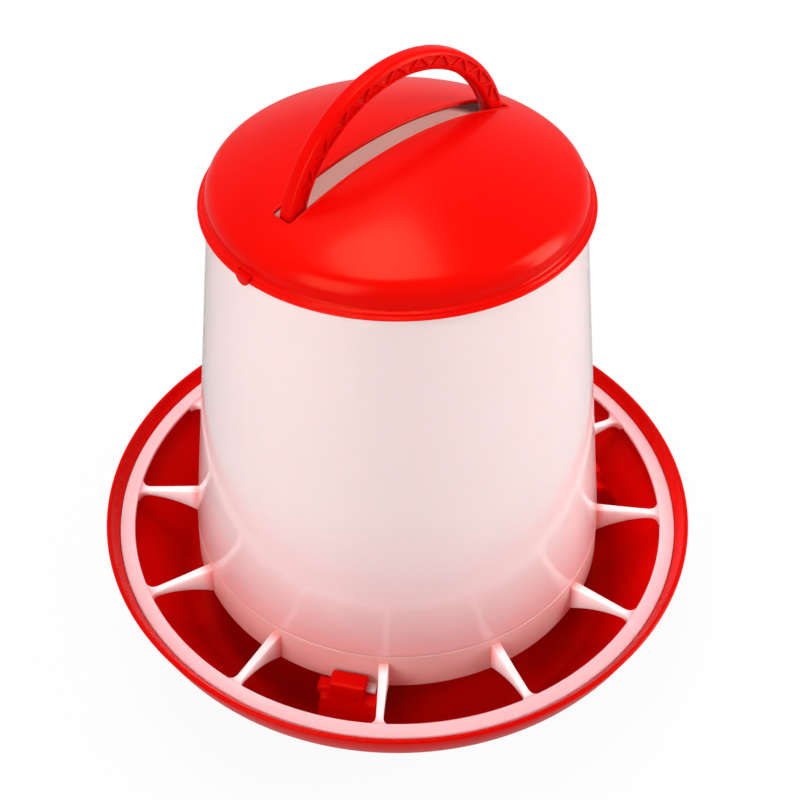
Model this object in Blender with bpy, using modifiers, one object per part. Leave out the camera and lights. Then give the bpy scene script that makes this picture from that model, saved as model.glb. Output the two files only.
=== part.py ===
"""A hanging poultry feeder: a round feed pan, a spoked guard ring, a hopper, a slotted lid and a carrying handle.

The hopper and its guard turn on the pan to lock under three hooks. The handle's pins sit in the hopper's neck,
and its arch passes through the lid's slot, so the lid lifts straight off over it.
Lengths are in metres. The foot of the pan stands on z = 0, and the handle's arch lies in the XZ plane.
"""

import math

import bmesh
import bpy
from mathutils import Matrix

# Clearance between pieces that touch or slide on the real object
FIT = 0.0003

# Facets round a turned piece
TURN_STEPS = 72

# Pan
PAN_RADIUS = 0.1350
PAN_HEIGHT = 0.0525
PAN_WALL = 0.0022
PAN_BASE_RADIUS = 0.1030
FOOT_WIDTH = 0.0060
FOOT_HEIGHT = 0.0020
RIM_FLARE = 0.0053
WALL_BEND_RADIUS = 0.1295
WALL_BEND_DROP = 0.0170
LEDGE_WIDTH = 0.0017
CONE_RADIUS = 0.0780
CONE_HEIGHT = 0.0300
CONE_TIP_RADIUS = 0.0120

# Feed guard
RING_DROP = 0.0055
RING_WIDTH = 0.0066
RING_THICKNESS = 0.0022
COLLAR_RADIUS = 0.0934
COLLAR_RISE = 0.0033
COLLAR_HEIGHT = 0.0189
COLLAR_FLARE = 0.0011
COLLAR_WALL = 0.0020
SPOKE_COUNT = 12
SPOKE_START = math.radians(12.5)
SPOKE_THICKNESS = 0.0030
SPOKE_ROOT_DROP = 0.0035
SPOKE_TIP_DROP = 0.0015
SPOKE_TIP_DEPTH = 0.0050
SPOKE_EDGE_STEPS = 6

# Bayonet lock between the guard's tongues and the pan's hooks
LOCK_COUNT = 3
LOCK_START = math.radians(-26.5)
TONGUE_REACH = 0.0041
TONGUE_THICKNESS = 0.0020
TONGUE_LENGTH = 0.0164
TONGUE_SHIFT = 0.0040
LOCK_PLAY = 0.0004
HOOK_LENGTH = 0.0175
HOOK_THICKNESS = 0.0042
HOOK_POST = 0.0048
SHELF_LENGTH = 0.0228
SHELF_SHIFT = 0.0021

# Hopper
HOPPER_HEIGHT = 0.1674
HOPPER_TOP_RADIUS = 0.0723
HOPPER_WALL = 0.0018
SPIGOT_LENGTH = 0.0118
SPIGOT_WALL = 0.0017
NECK_STEP = 0.0019
NECK_HEIGHT = 0.0082
NECK_TAPER = 0.0014
BEAD_REACH = 0.0021
BEAD_THICKNESS = 0.0012

# Lid
LID_WALL = 0.0018
LID_FLANGE = 0.0032
LID_FLANGE_THICKNESS = 0.0020
LID_RISE = 0.0264
DOME_RADIUS = 0.1660
SHOULDER_RADIUS = 0.0085
DOME_STEPS = 9
SHOULDER_STEPS = 6

# Handle
HANDLE_RADIUS = 0.0575
HANDLE_DEPTH = 0.0069
HANDLE_WIDTH = 0.0070
HANDLE_STEPS = 32
ARCH_DROP = 0.0013
PIN_RADIUS = 0.0035
PIN_RISE = 0.0016
PIN_PROUD = 0.0003
PIN_FACETS = 24
LEG_TAIL = 0.0045
SLOT_SIDE_PLAY = 0.0009
SLOT_END_PLAY = 0.0006
TRUSS_COUNT = 22
TRUSS_SPAN = math.radians(134)
TRUSS_RAIL = 0.0014
TRUSS_RIB = 0.0011
TRUSS_DEPTH = 0.0014

# Places that more than one piece shares
ring_radius = PAN_RADIUS - RIM_FLARE - FIT
ring_top = PAN_HEIGHT - RING_DROP
ring_bottom = ring_top - RING_THICKNESS
ledge = ring_bottom - FIT
pan_floor = FOOT_HEIGHT + PAN_WALL
floor_radius = PAN_BASE_RADIUS - PAN_WALL
bend_height = PAN_HEIGHT - WALL_BEND_DROP
inner_bend = (WALL_BEND_RADIUS - PAN_WALL, bend_height + PAN_WALL / 3)
seam = ring_top + COLLAR_RISE
collar_bottom = seam - COLLAR_HEIGHT
collar_foot_radius = COLLAR_RADIUS + COLLAR_FLARE
shelf = collar_bottom - FIT
rim_top = seam + HOPPER_HEIGHT
neck_radius = HOPPER_TOP_RADIUS - NECK_STEP
lid_wall_radius = neck_radius + FIT + LID_WALL
lid_radius = lid_wall_radius + LID_FLANGE
lid_bottom = rim_top + FIT
lid_top = lid_bottom + LID_RISE
pin_height = rim_top + PIN_RISE
arch_centre = pin_height - ARCH_DROP
pin_hole_radius = PIN_RADIUS + FIT

RED = (0.80, 0.008, 0.006)
MILKY = (0.90, 0.80, 0.79)


def clear_scene():
    for thing in list(bpy.data.objects):
        bpy.data.objects.remove(thing, do_unlink=True)


def collection(name):
    made = bpy.data.collections.new(name)
    bpy.context.scene.collection.children.link(made)
    return made


def plastic(name, colour, roughness):
    material = bpy.data.materials.new(name)
    material.use_nodes = True
    shader = material.node_tree.nodes["Principled BSDF"]
    shader.inputs["Base Color"].default_value = (*colour, 1.0)
    shader.inputs["Roughness"].default_value = roughness
    shader.inputs["Metallic"].default_value = 0.0
    return material


def arc(centre, radius, start, end, steps):
    """Points on an arc in the (radius, height) plane, with angles in degrees from the outward direction."""
    angles = [math.radians(start + (end - start) * step / steps) for step in range(steps + 1)]
    return [(centre[0] + radius * math.cos(a), centre[1] + radius * math.sin(a)) for a in angles]


def turned(name, profile, closed):
    """A solid of revolution: the profile runs down its outer side and back up its inner side."""
    mesh = bpy.data.meshes.new(name)
    shape = bmesh.new()
    points = [shape.verts.new((radius, 0, height)) for radius, height in profile]
    for first, second in zip(points, points[1:]):
        shape.edges.new((first, second))
    if closed:
        shape.edges.new((points[-1], points[0]))
    shape.to_mesh(mesh)
    shape.free()
    solid = bpy.data.objects.new(name, mesh)
    screw = solid.modifiers.new("turn", "SCREW")
    screw.axis = "Z"
    screw.steps = TURN_STEPS
    screw.render_steps = TURN_STEPS
    screw.use_merge_vertices = True
    screw.merge_threshold = 0.00001
    screw.use_smooth_shade = True
    return solid


def outline_mesh(name, outline, thickness):
    """A flat outline in the XZ plane, given its thickness along Y, as a closed mesh."""
    curve = bpy.data.curves.new(name, "CURVE")
    curve.dimensions = "2D"
    curve.fill_mode = "BOTH"
    curve.extrude = thickness / 2
    spline = curve.splines.new("POLY")
    spline.points.add(len(outline) - 1)
    for point, (across, height) in zip(spline.points, outline):
        point.co = (across, height, 0, 1)
    spline.use_cyclic_u = True
    guide = bpy.data.objects.new(name + "_outline", curve)
    bpy.context.scene.collection.objects.link(guide)
    bpy.context.view_layer.update()
    graph = bpy.context.evaluated_depsgraph_get()
    mesh = bpy.data.meshes.new_from_object(guide.evaluated_get(graph))
    bpy.data.objects.remove(guide, do_unlink=True)
    shape = bmesh.new()
    shape.from_mesh(mesh)
    bmesh.ops.remove_doubles(shape, verts=shape.verts, dist=0.000001)
    bmesh.ops.rotate(shape, verts=shape.verts, matrix=Matrix.Rotation(math.pi / 2, 3, "X"))
    bmesh.ops.recalc_face_normals(shape, faces=shape.faces)
    shape.to_mesh(mesh)
    shape.free()
    return mesh


def spaced_round(mesh, count, start, shift=0.0):
    """Moves a mesh along Y by shift, turns it to the start angle and repeats it evenly round the axis."""
    shape = bmesh.new()
    shape.from_mesh(mesh)
    bmesh.ops.translate(shape, verts=shape.verts, vec=(0, shift, 0))
    bmesh.ops.rotate(shape, verts=shape.verts, matrix=Matrix.Rotation(start, 3, "Z"))
    pitch = 2 * math.pi / count
    bmesh.ops.spin(
        shape,
        geom=shape.verts[:] + shape.edges[:] + shape.faces[:],
        cent=(0, 0, 0),
        axis=(0, 0, 1),
        angle=pitch * (count - 1),
        steps=count - 1,
        use_duplicate=True,
    )
    shape.to_mesh(mesh)
    shape.free()


def helper(name, mesh):
    """An object that only cuts or joins another."""
    tool = bpy.data.objects.new(name, mesh)
    tool.hide_render = True
    tool.display_type = "WIRE"
    helpers.objects.link(tool)
    return tool


def combine(target, tool, operation):
    step = target.modifiers.new(tool.name, "BOOLEAN")
    step.operation = operation
    step.solver = "EXACT"
    step.object = tool


def finish_piece(piece, material):
    piece.data.materials.append(material)
    feeder.objects.link(piece)
    return piece


def make_pan():
    seat_radius = ring_radius + FIT
    edge = PAN_WALL / 2
    edge_centre = (PAN_RADIUS - edge, PAN_HEIGHT - edge)
    cone_slope = math.atan2(CONE_HEIGHT, CONE_RADIUS)
    tip_angle = 90 - math.degrees(cone_slope)
    tip_drop = CONE_TIP_RADIUS / math.cos(cone_slope)
    tip_centre = pan_floor + CONE_HEIGHT - tip_drop
    hollow_drop = PAN_WALL / math.cos(cone_slope)
    under_cone = CONE_RADIUS - (PAN_WALL - hollow_drop) / math.tan(cone_slope)
    outside = [
        (WALL_BEND_RADIUS, bend_height),
        (PAN_BASE_RADIUS, FOOT_HEIGHT),
        (PAN_BASE_RADIUS, 0),
        (PAN_BASE_RADIUS - FOOT_WIDTH, 0),
        (PAN_BASE_RADIUS - FOOT_WIDTH, FOOT_HEIGHT),
        (under_cone, FOOT_HEIGHT),
        (0, pan_floor + CONE_HEIGHT - hollow_drop),
    ]
    tip = arc((0, tip_centre), CONE_TIP_RADIUS, 90, tip_angle, 4)
    inside = [
        (CONE_RADIUS, pan_floor),
        (floor_radius, pan_floor),
        inner_bend,
        (seat_radius - LEDGE_WIDTH, ledge),
        (seat_radius, ledge),
        (seat_radius, ring_top),
    ]
    rim = arc(edge_centre, edge, 180, 0, 6)
    profile = tip + inside + rim + outside
    pan = turned("pan", profile[::-1], closed=False)
    pan.modifiers["turn"].use_normal_flip = True
    for tool in hook_solids():
        combine(pan, tool, "UNION")
    return pan


def hook_solids():
    """The pan's three locking hooks: a shelf on a pedestal, an overhanging hook and the stop at its closed end."""
    root = pan_floor - PAN_WALL / 2
    inner = COLLAR_RADIUS - COLLAR_WALL
    hook_inner = collar_foot_radius + 2 * FIT
    post_inner = collar_foot_radius + TONGUE_REACH + 2 * FIT
    post_outer = post_inner + HOOK_POST
    hook_under = collar_bottom + TONGUE_THICKNESS + LOCK_PLAY
    hook_top = hook_under + HOOK_THICKNESS
    sunk = shelf - PAN_WALL
    wall_lean = (inner_bend[0] - floor_radius) / (inner_bend[1] - pan_floor)
    buried = pan_floor + (shelf - pan_floor) / 2
    wall_there = floor_radius + wall_lean * (buried - pan_floor)
    pedestal = [
        (inner, root),
        (PAN_BASE_RADIUS - PAN_WALL / 2, root),
        (wall_there + PAN_WALL / 3, buried),
        (post_outer, shelf),
        (inner, shelf),
    ]
    hook = [
        (post_inner, sunk),
        (post_outer, sunk),
        (post_outer - HOOK_POST / 3, hook_top),
        (hook_inner, hook_top),
        (hook_inner, hook_under),
        (post_inner, hook_under),
    ]
    stop_end = TONGUE_SHIFT - TONGUE_LENGTH / 2 - LOCK_PLAY
    stop_length = stop_end + HOOK_LENGTH / 2
    stop = [
        (hook_inner, sunk),
        (post_inner + HOOK_POST / 2, sunk),
        (post_inner + HOOK_POST / 2, hook_under + HOOK_THICKNESS / 2),
        (hook_inner, hook_under + HOOK_THICKNESS / 2),
    ]
    made = []
    for name, outline, length, shift in (
        ("hook_pedestals", pedestal, SHELF_LENGTH, SHELF_SHIFT),
        ("hooks", hook, HOOK_LENGTH, 0.0),
        ("hook_stops", stop, stop_length - FIT, stop_end - stop_length / 2),
    ):
        mesh = outline_mesh(name, outline, length)
        spaced_round(mesh, LOCK_COUNT, LOCK_START, shift)
        made.append(helper(name, mesh))
    return made


def make_feed_guard():
    collar = [
        (COLLAR_RADIUS, seam),
        (collar_foot_radius, collar_bottom),
        (collar_foot_radius - COLLAR_WALL, collar_bottom),
        (COLLAR_RADIUS - COLLAR_WALL, seam),
    ]
    guard = turned("feed_guard", collar, closed=True)
    ring_inner = ring_radius - RING_WIDTH
    edge = RING_THICKNESS / 4
    ring = [
        (ring_radius - edge, ring_top),
        (ring_radius, ring_top - edge),
        (ring_radius, ring_bottom),
        (ring_inner, ring_bottom),
        (ring_inner, ring_top - edge),
        (ring_inner + edge, ring_top),
    ]
    ring_solid = turned("guard_ring", ring, closed=True)
    ring_solid.hide_render = True
    ring_solid.display_type = "WIRE"
    helpers.objects.link(ring_solid)
    spokes = outline_mesh("spokes", spoke_outline(ring_inner), SPOKE_THICKNESS)
    spaced_round(spokes, SPOKE_COUNT, SPOKE_START)
    tongue_root = collar_foot_radius - COLLAR_WALL * 0.75
    tongue = [
        (tongue_root, collar_bottom),
        (collar_foot_radius + TONGUE_REACH, collar_bottom),
        (collar_foot_radius + TONGUE_REACH, collar_bottom + TONGUE_THICKNESS),
        (tongue_root, collar_bottom + TONGUE_THICKNESS),
    ]
    tongues = outline_mesh("tongues", tongue, TONGUE_LENGTH)
    spaced_round(tongues, LOCK_COUNT, LOCK_START, TONGUE_SHIFT)
    combine(guard, helper("spokes", spokes), "UNION")
    combine(guard, ring_solid, "UNION")
    combine(guard, helper("tongues", tongues), "UNION")
    return guard


def spoke_outline(ring_inner):
    """A fin as deep as the collar at its root, with a hollow lower edge that rises to the ring."""
    root_top = (COLLAR_RADIUS - COLLAR_WALL / 2, seam - SPOKE_ROOT_DROP)
    root_foot = (collar_foot_radius - COLLAR_WALL / 2, collar_bottom + TONGUE_THICKNESS / 3)
    tip_foot = (ring_inner - FIT, ring_top - SPOKE_TIP_DEPTH)
    buried = ring_inner + RING_WIDTH / 4
    lower = []
    for step in range(SPOKE_EDGE_STEPS + 1):
        share = step / SPOKE_EDGE_STEPS
        rise = 1 - (1 - share) ** 2
        across = tip_foot[0] + (root_foot[0] - tip_foot[0]) * (1 - share)
        lower.append((across, root_foot[1] + (tip_foot[1] - root_foot[1]) * rise))
    upper = [
        (buried, ring_bottom + RING_THICKNESS / 8),
        (buried, ring_top - SPOKE_TIP_DROP / 2),
        (ring_inner, ring_top - SPOKE_TIP_DROP),
        root_top,
    ]
    return lower + upper


def make_hopper():
    neck_top = rim_top + NECK_HEIGHT
    neck_inner = neck_radius - HOPPER_WALL
    spigot_radius = COLLAR_RADIUS - COLLAR_WALL - FIT
    spigot_inner = spigot_radius - SPIGOT_WALL
    foot = seam + FIT
    blend = 2 * SPIGOT_WALL
    lean = (COLLAR_RADIUS - HOPPER_TOP_RADIUS) / HOPPER_HEIGHT
    inner_foot_height = foot + blend + (COLLAR_RADIUS - HOPPER_WALL - spigot_inner)
    inner_foot_radius = COLLAR_RADIUS - HOPPER_WALL - lean * (inner_foot_height - foot)
    under_bead = rim_top - BEAD_THICKNESS
    profile = [
        (neck_radius - NECK_TAPER, neck_top),
        (neck_radius, rim_top),
        (HOPPER_TOP_RADIUS + BEAD_REACH, rim_top),
        (HOPPER_TOP_RADIUS + BEAD_REACH, under_bead),
        (HOPPER_TOP_RADIUS, under_bead),
        (COLLAR_RADIUS, foot),
        (spigot_radius, foot),
        (spigot_radius, foot - SPIGOT_LENGTH),
        (spigot_inner, foot - SPIGOT_LENGTH),
        (spigot_inner, foot + blend),
        (inner_foot_radius, inner_foot_height),
        (HOPPER_TOP_RADIUS - HOPPER_WALL, under_bead - NECK_STEP),
        (neck_inner, rim_top),
        (neck_inner - NECK_TAPER, neck_top),
    ]
    hopper = turned("hopper", profile, closed=True)
    combine(hopper, pin_cutter("pin_holes", pin_hole_radius, neck_inner - 2 * NECK_TAPER), "DIFFERENCE")
    return hopper


def pin_cutter(name, radius, inner_end):
    """Two bars along the pins, from inside the neck to past the lid."""
    outer_end = lid_radius + LID_FLANGE
    length = outer_end - inner_end
    shape = bmesh.new()
    for side in (-1, 1):
        place = Matrix.Translation((side * (inner_end + length / 2), 0, pin_height))
        bmesh.ops.create_cone(
            shape,
            cap_ends=True,
            segments=PIN_FACETS,
            radius1=radius,
            radius2=radius,
            depth=length,
            matrix=place @ Matrix.Rotation(math.pi / 2, 4, "Y"),
        )
    mesh = bpy.data.meshes.new(name)
    shape.to_mesh(mesh)
    shape.free()
    return helper(name, mesh)


def lid_curve(offset):
    """The dome and rounded shoulder from the apex down to the wall, moved inwards by offset."""
    dome = DOME_RADIUS - offset
    round_radius = SHOULDER_RADIUS - offset
    dome_centre = lid_top - DOME_RADIUS
    round_across = lid_wall_radius - SHOULDER_RADIUS
    reach = DOME_RADIUS - SHOULDER_RADIUS
    round_centre = (round_across, dome_centre + math.sqrt(reach**2 - round_across**2))
    meet = math.degrees(math.acos(round_across / reach))
    return (
        arc((0, dome_centre), dome, 90, meet, DOME_STEPS)
        + arc(round_centre, round_radius, meet, 0, SHOULDER_STEPS)[1:]
    )


def make_lid():
    flange_top = lid_bottom + LID_FLANGE_THICKNESS
    edge = LID_FLANGE_THICKNESS / 3
    outside = lid_curve(0.0) + [
        (lid_wall_radius, flange_top),
        (lid_radius - edge, flange_top),
        (lid_radius, flange_top - edge),
        (lid_radius, lid_bottom),
        (lid_wall_radius - LID_WALL, lid_bottom),
    ]
    inside = lid_curve(LID_WALL)[::-1]
    lid = turned("lid", outside + inside, closed=False)
    combine(lid, lid_slot(), "DIFFERENCE")
    combine(lid, pin_notches(), "DIFFERENCE")
    return lid


def lid_slot():
    """A long slot with rounded corners, just wide enough for the arch to lean and long enough for its legs."""
    dome_centre = lid_top - DOME_RADIUS
    under_dome = DOME_RADIUS - LID_WALL
    level = (HANDLE_RADIUS**2 - under_dome**2 - arch_centre**2 + dome_centre**2) / (2 * (dome_centre - arch_centre))
    leg_reach = math.sqrt(HANDLE_RADIUS**2 - (level - arch_centre) ** 2)
    half_width = HANDLE_WIDTH / 2 + SLOT_SIDE_PLAY
    corner = SLOT_SIDE_PLAY
    straight = leg_reach + SLOT_END_PLAY - corner
    side = half_width - corner
    outline = (
        arc((straight, side), corner, 0, 90, 4)
        + arc((-straight, side), corner, 90, 180, 4)
        + arc((-straight, -side), corner, 180, 270, 4)
        + arc((straight, -side), corner, 270, 360, 4)
    )
    mesh = outline_mesh("lid_slot", outline, 2 * LID_RISE)
    shape = bmesh.new()
    shape.from_mesh(mesh)
    bmesh.ops.rotate(shape, verts=shape.verts, matrix=Matrix.Rotation(math.pi / 2, 3, "X"))
    bmesh.ops.translate(shape, verts=shape.verts, vec=(0, 0, lid_top))
    shape.to_mesh(mesh)
    shape.free()
    return helper("lid_slot", mesh)


def pin_notches():
    """Round-topped notches that let the lid drop over the pins."""
    inner_end = neck_radius - HOPPER_WALL
    outer_end = lid_radius + LID_FLANGE
    drop = 2 * PIN_RADIUS
    outline = arc((0, pin_height), pin_hole_radius, 0, 180, PIN_FACETS // 2) + [
        (-pin_hole_radius, pin_height - drop),
        (pin_hole_radius, pin_height - drop),
    ]
    mesh = outline_mesh("pin_notches", outline, outer_end - inner_end)
    shape = bmesh.new()
    shape.from_mesh(mesh)
    bmesh.ops.translate(shape, verts=shape.verts, vec=(0, (outer_end + inner_end) / 2, 0))
    shape.to_mesh(mesh)
    shape.free()
    spaced_round(mesh, 2, math.pi / 2)
    return helper("pin_notches", mesh)


def make_handle():
    """An arch whose side faces are pocketed into a zig-zag of ribs, with a pin at the foot of each leg."""
    foot = math.degrees(math.asin((ARCH_DROP - LEG_TAIL) / HANDLE_RADIUS))
    inner_radius = HANDLE_RADIUS - HANDLE_DEPTH
    inner_foot = math.degrees(math.asin((ARCH_DROP - LEG_TAIL) / inner_radius))
    outline = arc((0, -ARCH_DROP), HANDLE_RADIUS, foot, 180 - foot, HANDLE_STEPS)
    outline += arc((0, -ARCH_DROP), inner_radius, 180 - inner_foot, inner_foot, HANDLE_STEPS)
    mesh = outline_mesh("handle", outline, HANDLE_WIDTH)
    handle = bpy.data.objects.new("handle", mesh)
    handle.location = (0, 0, pin_height)
    pins = pin_cutter("pins", PIN_RADIUS, HANDLE_RADIUS - HANDLE_DEPTH / 2)
    trim = outline_mesh("pin_trim", pin_trim_outline(), 4 * PIN_RADIUS)
    combine(pins, helper("pin_trim", trim), "INTERSECT")
    combine(handle, pins, "UNION")
    combine(handle, truss_pockets(), "DIFFERENCE")
    return handle


def pin_trim_outline():
    """The block that the pins end at."""
    reach = lid_radius + PIN_PROUD
    return [
        (reach, pin_height - 2 * PIN_RADIUS),
        (reach, pin_height + 2 * PIN_RADIUS),
        (-reach, pin_height + 2 * PIN_RADIUS),
        (-reach, pin_height - 2 * PIN_RADIUS),
    ]


def truss_pockets():
    """Triangular pockets in both side faces, pointing in and out by turns."""
    middle = HANDLE_RADIUS - HANDLE_DEPTH / 2
    pitch = TRUSS_SPAN / TRUSS_COUNT
    height = HANDLE_DEPTH - 2 * TRUSS_RAIL
    base = 2 * (middle * pitch - TRUSS_RIB)
    # A three-sided prism of unit radius is 1.5 high and the square root of 3 wide
    shrink = Matrix.Diagonal((height / 1.5, base / math.sqrt(3), 1, 1))
    shape = bmesh.new()
    for number in range(TRUSS_COUNT):
        angle = (math.pi - TRUSS_SPAN) / 2 + (number + 0.5) * pitch
        point = 0 if number % 2 else math.pi
        lift = height / 6 * (1 if number % 2 else -1)
        for side in (-1, 1):
            place = (
                Matrix.Translation((0, side * HANDLE_WIDTH / 2, arch_centre))
                @ Matrix.Rotation(-angle, 4, "Y")
                @ Matrix.Translation((middle + lift, 0, 0))
                @ Matrix.Rotation(math.pi / 2, 4, "X")
                @ Matrix.Rotation(point, 4, "Z")
            )
            bmesh.ops.create_cone(
                shape,
                cap_ends=True,
                segments=3,
                radius1=1,
                radius2=1,
                depth=2 * TRUSS_DEPTH,
                matrix=place @ shrink @ Matrix.Rotation(math.pi / 2, 4, "Z"),
            )
    mesh = bpy.data.meshes.new("truss_pockets")
    shape.to_mesh(mesh)
    shape.free()
    return helper("truss_pockets", mesh)


clear_scene()
feeder = collection("poultry_feeder")
helpers = collection("helpers")
helpers.hide_render = True
finish_piece(make_pan(), plastic("pan_red", RED, 0.28))
finish_piece(make_feed_guard(), plastic("guard_milky", MILKY, 0.35))
finish_piece(make_hopper(), plastic("hopper_milky", MILKY, 0.30))
finish_piece(make_lid(), plastic("lid_red", RED, 0.25))
finish_piece(make_handle(), plastic("handle_red", RED, 0.30))
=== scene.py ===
"""Dresses a hanging poultry feeder: a red pan, lid and handle, and a milky hopper and feed guard.

Each of the five packed mouldings is modelled again in its own place, with fine facets, rounded edges and
fillets, and gets its own moulded plastic. The handle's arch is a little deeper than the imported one, and the
pan's lugs are fuller and softer, as in the photograph. Lengths are in metres.
"""

import math

import bpy
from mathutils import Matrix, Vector


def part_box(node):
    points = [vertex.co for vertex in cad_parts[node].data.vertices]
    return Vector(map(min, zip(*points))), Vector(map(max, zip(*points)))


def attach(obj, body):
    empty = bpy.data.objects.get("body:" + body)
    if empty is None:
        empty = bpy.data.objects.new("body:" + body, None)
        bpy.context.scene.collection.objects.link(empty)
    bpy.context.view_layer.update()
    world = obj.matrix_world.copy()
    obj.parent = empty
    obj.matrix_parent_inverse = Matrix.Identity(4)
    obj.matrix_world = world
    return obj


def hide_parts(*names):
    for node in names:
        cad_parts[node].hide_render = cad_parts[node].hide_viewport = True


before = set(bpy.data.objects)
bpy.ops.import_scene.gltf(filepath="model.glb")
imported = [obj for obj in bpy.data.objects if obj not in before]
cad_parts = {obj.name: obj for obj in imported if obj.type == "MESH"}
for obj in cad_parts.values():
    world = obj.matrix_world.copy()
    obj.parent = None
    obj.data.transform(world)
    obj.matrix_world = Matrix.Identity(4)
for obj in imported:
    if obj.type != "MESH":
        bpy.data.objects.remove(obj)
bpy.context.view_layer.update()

pan_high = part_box("pan")[1]
guard_low, guard_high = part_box("feed_guard")
hopper_low, hopper_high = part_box("hopper")
lid_low, lid_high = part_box("lid")
handle_low, handle_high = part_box("handle")

# Fineness of turned pieces and of rounded corners
TURN_STEPS = 180
ROUND_STEP = math.radians(11)
LONGEST_SETBACK = 0.49
CONE_TIP_STEPS = 6
RIM_STEPS = 16
SPOKE_STEPS = 7
SPOKE_FILLET_DEGREES = (90, 65, 50, 35, 20, 0)
DOME_STEPS = 24
SHOULDER_STEPS = 14
SLOT_CORNER_STEPS = 8
SLOT_SIDE_STEPS = 40
SLOT_BEAD_STEPS = 4
HANDLE_STEPS = 120
HANDLE_EDGE_STEPS = 4
PIN_SIDES = 48
SHARP_DEGREES = 40
SMOOTH_DEGREES = 32
SAME_POINT = 0.000002

# Room between pieces
FIT = 0.0003

# Pan
PAN_RADIUS = pan_high.x
PAN_HEIGHT = pan_high.z
PAN_WALL = 0.0022
PAN_BASE_RADIUS = 0.1030
FOOT_WIDTH = 0.0060
FOOT_HEIGHT = 0.0020
WALL_BEND_RADIUS = 0.1295
WALL_BEND_DROP = 0.0170
LEDGE_WIDTH = 0.0017
CONE_RADIUS = 0.0780
CONE_HEIGHT = 0.0300
CONE_TIP_RADIUS = 0.0120
FLOOR_FILLET = 0.0090
BEND_ROUNDING = 0.0140
HEEL_ROUNDING = 0.0060
RIM_HOLLOW = 0.0030
SEAT_EDGE = 0.0006
SEAT_CORNER = 0.0003
FOOT_EDGE = 0.0005
FOOT_CORNER = 0.0008

# Feed guard
RING_RADIUS = guard_high.x
RING_DROP = 0.0055
RING_WIDTH = 0.0066
RING_THICKNESS = 0.0022
RING_TOP_EDGE = 0.0007
RING_SEAT_EDGE = 0.0003
RING_MOUTH_EDGE = 0.0006
RING_MOUTH_FOOT_EDGE = 0.0004
COLLAR_RADIUS = hopper_high.x
COLLAR_FLARE = 0.0011
COLLAR_WALL = 0.0020
COLLAR_TOP_EDGE = 0.0004
COLLAR_FOOT_EDGE = 0.0005
SPOKE_COUNT = 12
SPOKE_START = math.radians(12.5)
SPOKE_THICKNESS = 0.0030
SPOKE_ROOT_DROP = 0.0036
SPOKE_TIP_DROP = 0.0019
SPOKE_TIP_DEPTH = 0.0050
SPOKE_RING_FILLET = 0.0042
SPOKE_ROOT_WIDENING = 0.0006
SPOKE_EDGE = 0.0008
SPOKE_SHARP_DEGREES = 60

# Lock between the guard's tongues and the pan's lugs
LOCK_COUNT = 3
LOCK_START = math.radians(-26.5)
TONGUE_REACH = 0.0041
TONGUE_THICKNESS = 0.0020
TONGUE_LENGTH = 0.0164
TONGUE_SHIFT = 0.0040
TONGUE_ROOT = 0.0015
TONGUE_EDGE = 0.0005
LOCK_PLAY = 0.0004
HOOK_LENGTH = 0.0228
HOOK_SHIFT = -0.0017
HOOK_NARROWING = 0.70
HOOK_LEAN = 0.0027
HOOK_THICKNESS = 0.0060
HOOK_POST = 0.0048
PEDESTAL_LENGTH = 0.0270
PEDESTAL_SHIFT = 0.0003
PEDESTAL_NARROWING = 0.90
PEDESTAL_LEAN = 0.0010
LUG_SKIN = 0.0006
LUG_SMOOTHING = 14
LUG_SMOOTHING_SHARE = 0.5

# Hopper
HOPPER_TOP_RADIUS = 0.0723
HOPPER_WALL = 0.0018
HOPPER_FOOT_EDGE = 0.0005
SPIGOT_WALL = 0.0017
SPIGOT_FILLET = 0.0003
SPIGOT_EDGE = 0.0004
SPIGOT_EASE = 0.0020
NECK_STEP = 0.0019
NECK_HEIGHT = 0.0082
NECK_TAPER = 0.0014
NECK_EDGE = 0.0006
NECK_FILLET = 0.0004
NECK_EASE = 0.0015
BEAD_REACH = 0.0021
BEAD_THICKNESS = 0.0012
BEAD_EDGE = 0.0004
BEAD_FILLET = 0.0008

# Lid
LID_RADIUS = lid_high.y
LID_BOTTOM = lid_low.z
LID_RISE = 0.0264
LID_WALL = 0.0018
LID_FLANGE = 0.0032
LID_FLANGE_THICKNESS = 0.0020
LID_FLANGE_FILLET = 0.0014
LID_FLANGE_CREST = 0.0004
LID_STEP_SHARES = (0.50, 0.56)
LID_STEP_DROP = 0.0009
LID_STEP_EDGE = 0.0007
LID_STEP_FILLET = 0.0005
LID_EDGE_DROP = 0.0011
LID_EDGE = 0.0006
LID_FOOT_EDGE = 0.0004
DOME_RADIUS = 0.1660
SHOULDER_RADIUS = 0.0085
SLOT_HALF_WIDTH = 0.0044
SLOT_HALF_LENGTH = 0.0561
SLOT_CORNER = 0.0009
SLOT_BEAD = 0.0008
SLOT_BEAD_SINK = 0.65

# Handle
HANDLE_TOP = handle_high.z
HANDLE_RADIUS = 0.0575
HANDLE_DEPTH = 0.0077
HANDLE_WIDTH = 0.0070
HANDLE_EDGE = 0.0019
HANDLE_SMOOTH_DEGREES = 40
LEG_FOOT = handle_low.z
PIN_RADIUS = 0.0035
PIN_REACH = handle_high.x
PIN_RISE = 0.0016
PIN_EDGE = 0.0004
PIN_TAB_DROP = 0.0001
TRUSS_COUNT = 22
TRUSS_SPAN = math.radians(134)
TRUSS_RAIL = 0.0019
TRUSS_RIB = 0.0015
TRUSS_DEPTH = 0.0008
TRUSS_CORNER = 0.0006

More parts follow.
